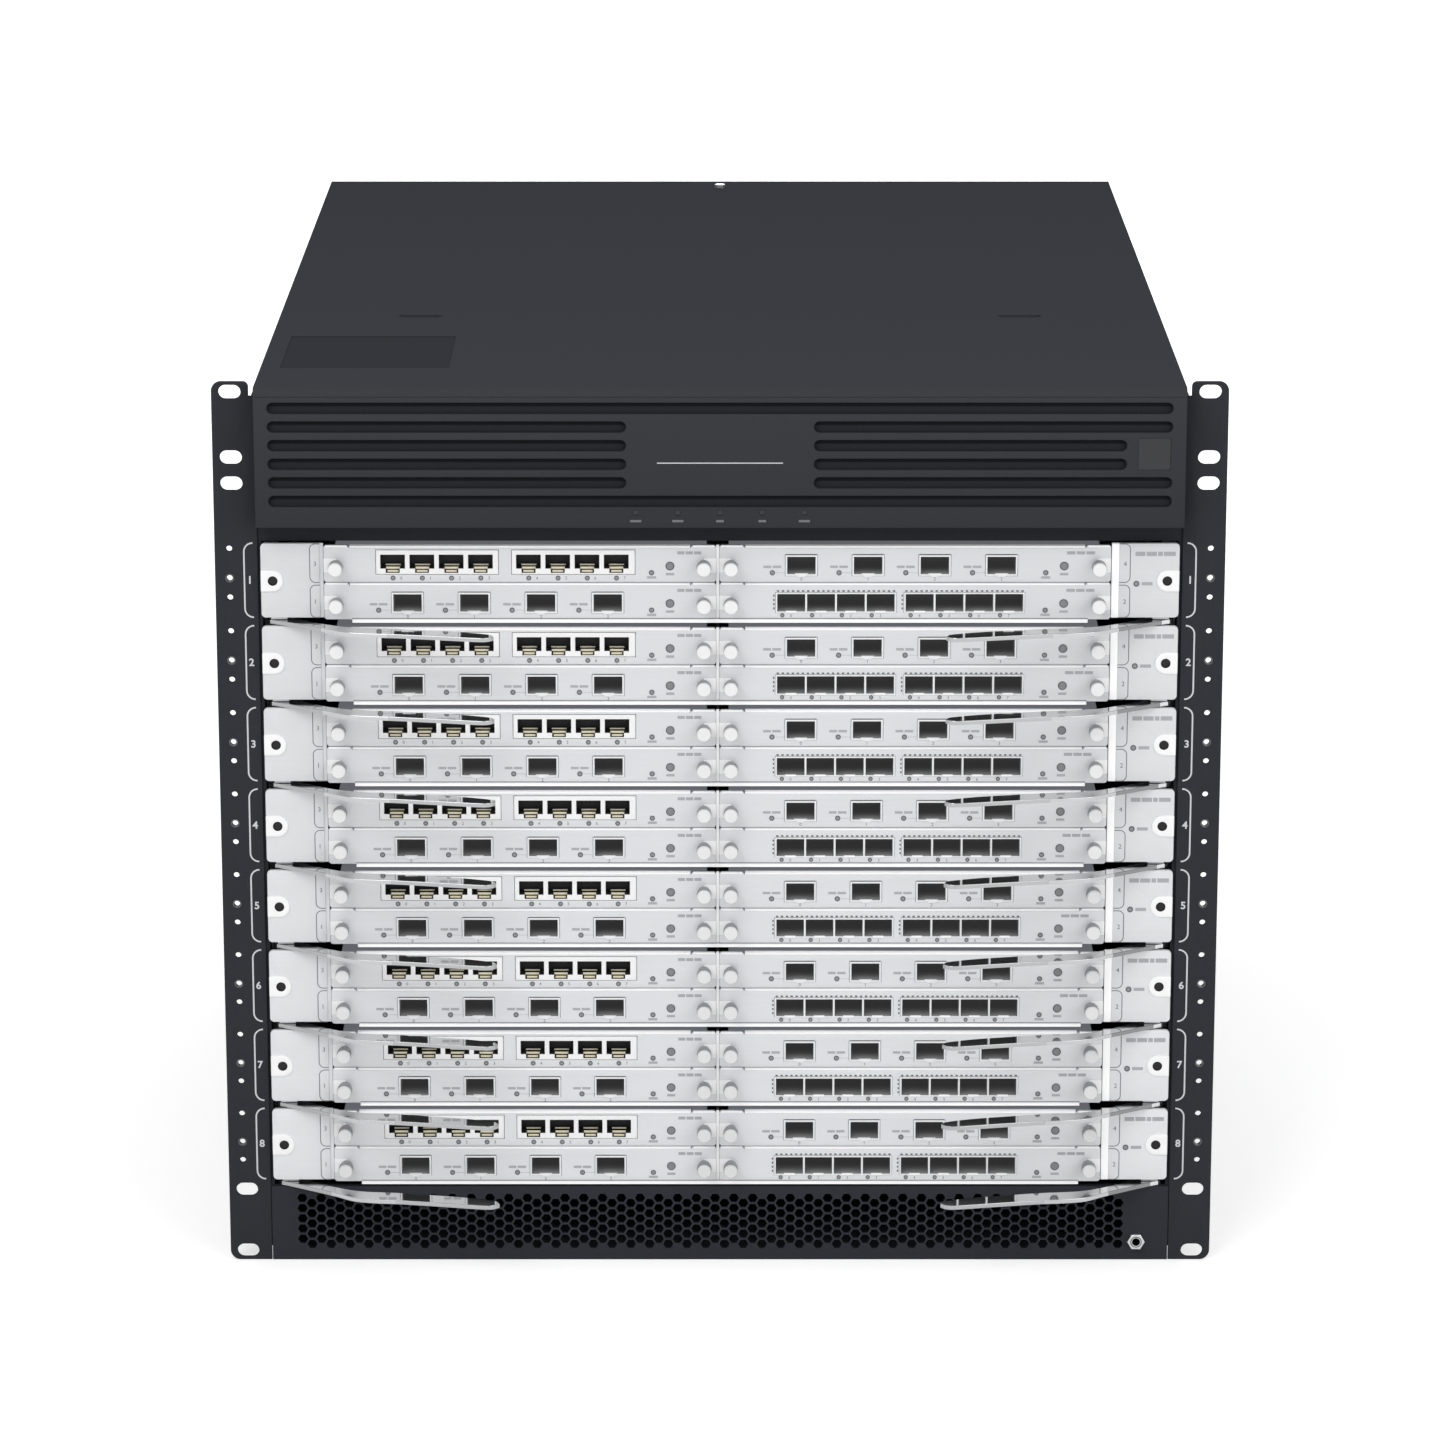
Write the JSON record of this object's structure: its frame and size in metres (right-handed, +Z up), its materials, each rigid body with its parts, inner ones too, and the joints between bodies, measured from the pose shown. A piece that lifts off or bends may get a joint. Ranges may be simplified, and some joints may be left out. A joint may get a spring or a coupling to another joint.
{
  "type": "modular core router",
  "caption": "Rack chassis router with hot-swap line carriers, port modules, ejector levers, louvred bezel and rear power, control and fan modules.",
  "frame": {"origin": "centre of the chassis underside", "axes": "+X to the right seen from the front, +Y from the front to the back, +Z up"},
  "size_m": [0.4826, 0.6218, 0.4428],
  "materials": {
    "chassis_paint": "fine textured powder coat, near black",
    "bezel_plastic": "matt moulded",
    "carrier_steel": "brushed, bright plated",
    "module_steel": "brushed, bright plated",
    "lever_steel": "polished",
    "knob_metal": "knurled, bright",
    "guide_steel": "plain zinc",
    "rear_steel": "zinc plated sheet",
    "board": "solder masked laminate",
    "fan_plastic": "moulded",
    "plated_screw": "nickel plated"
  },
  "bodies": {
    "chassis": {"chassis_shell": "chassis_paint", "top_cover": "chassis_paint", "front_bezel": "bezel_plastic", "rack_ear_left": "chassis_paint", "rack_ear_right": "chassis_paint", "intake_panel": "chassis_paint", "card_guides": "guide_steel", "backplane": "board", "ground_jack": "plated_screw", "cover_screws": "plated_screw", "ear_screws": "plated_screw"},
    "slot_carrier_1": {"carrier_1": "carrier_steel", "modules_1": "module_steel", "thumbscrews_1": "knob_metal"},
    "lever_left_1": {"lever_left_1": "lever_steel"},
    "lever_right_1": {"lever_right_1": "lever_steel"},
    "slot_carrier_2": {"carrier_2": "carrier_steel", "modules_2": "module_steel", "thumbscrews_2": "knob_metal"},
    "lever_left_2": {"lever_left_2": "lever_steel"},
    "lever_right_2": {"lever_right_2": "lever_steel"},
    "slot_carrier_3": {"carrier_3": "carrier_steel", "modules_3": "module_steel", "thumbscrews_3": "knob_metal"},
    "lever_left_3": {"lever_left_3": "lever_steel"},
    "lever_right_3": {"lever_right_3": "lever_steel"},
    "slot_carrier_4": {"carrier_4": "carrier_steel", "modules_4": "module_steel", "thumbscrews_4": "knob_metal"},
    "lever_left_4": {"lever_left_4": "lever_steel"},
    "lever_right_4": {"lever_right_4": "lever_steel"},
    "slot_carrier_5": {"carrier_5": "carrier_steel", "modules_5": "module_steel", "thumbscrews_5": "knob_metal"},
    "lever_left_5": {"lever_left_5": "lever_steel"},
    "lever_right_5": {"lever_right_5": "lever_steel"},
    "slot_carrier_6": {"carrier_6": "carrier_steel", "modules_6": "module_steel", "thumbscrews_6": "knob_metal"},
    "lever_left_6": {"lever_left_6": "lever_steel"},
    "lever_right_6": {"lever_right_6": "lever_steel"},
    "slot_carrier_7": {"carrier_7": "carrier_steel", "modules_7": "module_steel", "thumbscrews_7": "knob_metal"},
    "lever_left_7": {"lever_left_7": "lever_steel"},
    "lever_right_7": {"lever_right_7": "lever_steel"},
    "slot_carrier_8": {"carrier_8": "carrier_steel", "modules_8": "module_steel", "thumbscrews_8": "knob_metal"},
    "lever_left_8": {"lever_left_8": "lever_steel"},
    "lever_right_8": {"lever_right_8": "lever_steel"},
    "fan_tray": {"fan_tray": "rear_steel"},
    "fan_rotor_1": {"fan_rotor_1": "fan_plastic"},
    "fan_rotor_2": {"fan_rotor_2": "fan_plastic"},
    "fan_rotor_3": {"fan_rotor_3": "fan_plastic"},
    "power_supply_1": {"power_supply_1": "rear_steel"},
    "power_supply_2": {"power_supply_2": "rear_steel"},
    "control_module_1": {"control_module_1": "rear_steel"},
    "control_module_2": {"control_module_2": "rear_steel"},
    "forwarding_module": {"forwarding_module": "rear_steel"}
  },
  "joints": [
    {"name": "carrier_slide_1", "type": "slide", "parent": "chassis", "child": "slot_carrier_1", "axis": [0, -1, 0], "range_m": [0, 0.3]},
    {"name": "lever_left_hinge_1", "type": "hinge", "parent": "slot_carrier_1", "child": "lever_left_1", "pos_m": [-0.211, -0.276, 0.3243], "axis": [0, 0, -1], "range_deg": [0, 70]},
    {"name": "lever_right_hinge_1", "type": "hinge", "parent": "slot_carrier_1", "child": "lever_right_1", "pos_m": [0.211, -0.276, 0.3243], "axis": [0, 0, 1], "range_deg": [0, 70]},
    {"name": "carrier_slide_2", "type": "slide", "parent": "chassis", "child": "slot_carrier_2", "axis": [0, -1, 0], "range_m": [0, 0.3]},
    {"name": "lever_left_hinge_2", "type": "hinge", "parent": "slot_carrier_2", "child": "lever_left_2", "pos_m": [-0.211, -0.276, 0.28366], "axis": [0, 0, -1], "range_deg": [0, 70]},
    {"name": "lever_right_hinge_2", "type": "hinge", "parent": "slot_carrier_2", "child": "lever_right_2", "pos_m": [0.211, -0.276, 0.28366], "axis": [0, 0, 1], "range_deg": [0, 70]},
    {"name": "carrier_slide_3", "type": "slide", "parent": "chassis", "child": "slot_carrier_3", "axis": [0, -1, 0], "range_m": [0, 0.3]},
    {"name": "lever_left_hinge_3", "type": "hinge", "parent": "slot_carrier_3", "child": "lever_left_3", "pos_m": [-0.211, -0.276, 0.24302], "axis": [0, 0, -1], "range_deg": [0, 70]},
    {"name": "lever_right_hinge_3", "type": "hinge", "parent": "slot_carrier_3", "child": "lever_right_3", "pos_m": [0.211, -0.276, 0.24302], "axis": [0, 0, 1], "range_deg": [0, 70]},
    {"name": "carrier_slide_4", "type": "slide", "parent": "chassis", "child": "slot_carrier_4", "axis": [0, -1, 0], "range_m": [0, 0.3]},
    {"name": "lever_left_hinge_4", "type": "hinge", "parent": "slot_carrier_4", "child": "lever_left_4", "pos_m": [-0.211, -0.276, 0.20238], "axis": [0, 0, -1], "range_deg": [0, 70]},
    {"name": "lever_right_hinge_4", "type": "hinge", "parent": "slot_carrier_4", "child": "lever_right_4", "pos_m": [0.211, -0.276, 0.20238], "axis": [0, 0, 1], "range_deg": [0, 70]},
    {"name": "carrier_slide_5", "type": "slide", "parent": "chassis", "child": "slot_carrier_5", "axis": [0, -1, 0], "range_m": [0, 0.3]},
    {"name": "lever_left_hinge_5", "type": "hinge", "parent": "slot_carrier_5", "child": "lever_left_5", "pos_m": [-0.211, -0.276, 0.16174], "axis": [0, 0, -1], "range_deg": [0, 70]},
    {"name": "lever_right_hinge_5", "type": "hinge", "parent": "slot_carrier_5", "child": "lever_right_5", "pos_m": [0.211, -0.276, 0.16174], "axis": [0, 0, 1], "range_deg": [0, 70]},
    {"name": "carrier_slide_6", "type": "slide", "parent": "chassis", "child": "slot_carrier_6", "axis": [0, -1, 0], "range_m": [0, 0.3]},
    {"name": "lever_left_hinge_6", "type": "hinge", "parent": "slot_carrier_6", "child": "lever_left_6", "pos_m": [-0.211, -0.276, 0.1211], "axis": [0, 0, -1], "range_deg": [0, 70]},
    {"name": "lever_right_hinge_6", "type": "hinge", "parent": "slot_carrier_6", "child": "lever_right_6", "pos_m": [0.211, -0.276, 0.1211], "axis": [0, 0, 1], "range_deg": [0, 70]},
    {"name": "carrier_slide_7", "type": "slide", "parent": "chassis", "child": "slot_carrier_7", "axis": [0, -1, 0], "range_m": [0, 0.3]},
    {"name": "lever_left_hinge_7", "type": "hinge", "parent": "slot_carrier_7", "child": "lever_left_7", "pos_m": [-0.211, -0.276, 0.08046], "axis": [0, 0, -1], "range_deg": [0, 70]},
    {"name": "lever_right_hinge_7", "type": "hinge", "parent": "slot_carrier_7", "child": "lever_right_7", "pos_m": [0.211, -0.276, 0.08046], "axis": [0, 0, 1], "range_deg": [0, 70]},
    {"name": "carrier_slide_8", "type": "slide", "parent": "chassis", "child": "slot_carrier_8", "axis": [0, -1, 0], "range_m": [0, 0.3]},
    {"name": "lever_left_hinge_8", "type": "hinge", "parent": "slot_carrier_8", "child": "lever_left_8", "pos_m": [-0.211, -0.276, 0.03982], "axis": [0, 0, -1], "range_deg": [0, 70]},
    {"name": "lever_right_hinge_8", "type": "hinge", "parent": "slot_carrier_8", "child": "lever_right_8", "pos_m": [0.211, -0.276, 0.03982], "axis": [0, 0, 1], "range_deg": [0, 70]},
    {"name": "fan_tray_slide", "type": "slide", "parent": "chassis", "child": "fan_tray", "axis": [0, 1, 0], "range_m": [0, 0.06]},
    {"name": "fan_spin_1", "type": "hinge", "parent": "fan_tray", "child": "fan_rotor_1", "pos_m": [-0.137, 0.2533, 0.347], "axis": [0, 1, 0], "continuous": true},
    {"name": "fan_spin_2", "type": "hinge", "parent": "fan_tray", "child": "fan_rotor_2", "pos_m": [0, 0.2533, 0.347], "axis": [0, 1, 0], "continuous": true},
    {"name": "fan_spin_3", "type": "hinge", "parent": "fan_tray", "child": "fan_rotor_3", "pos_m": [0.137, 0.2533, 0.347], "axis": [0, 1, 0], "continuous": true},
    {"name": "power_supply_1_slide", "type": "slide", "parent": "chassis", "child": "power_supply_1", "axis": [0, 1, 0], "range_m": [0, 0.2]},
    {"name": "power_supply_2_slide", "type": "slide", "parent": "chassis", "child": "power_supply_2", "axis": [0, 1, 0], "range_m": [0, 0.2]},
    {"name": "control_module_1_slide", "type": "slide", "parent": "chassis", "child": "control_module_1", "axis": [0, 1, 0], "range_m": [0, 0.2]},
    {"name": "control_module_2_slide", "type": "slide", "parent": "chassis", "child": "control_module_2", "axis": [0, 1, 0], "range_m": [0, 0.2]},
    {"name": "forwarding_module_slide", "type": "slide", "parent": "chassis", "child": "forwarding_module", "axis": [0, 1, 0], "range_m": [0, 0.2]}
  ]
}
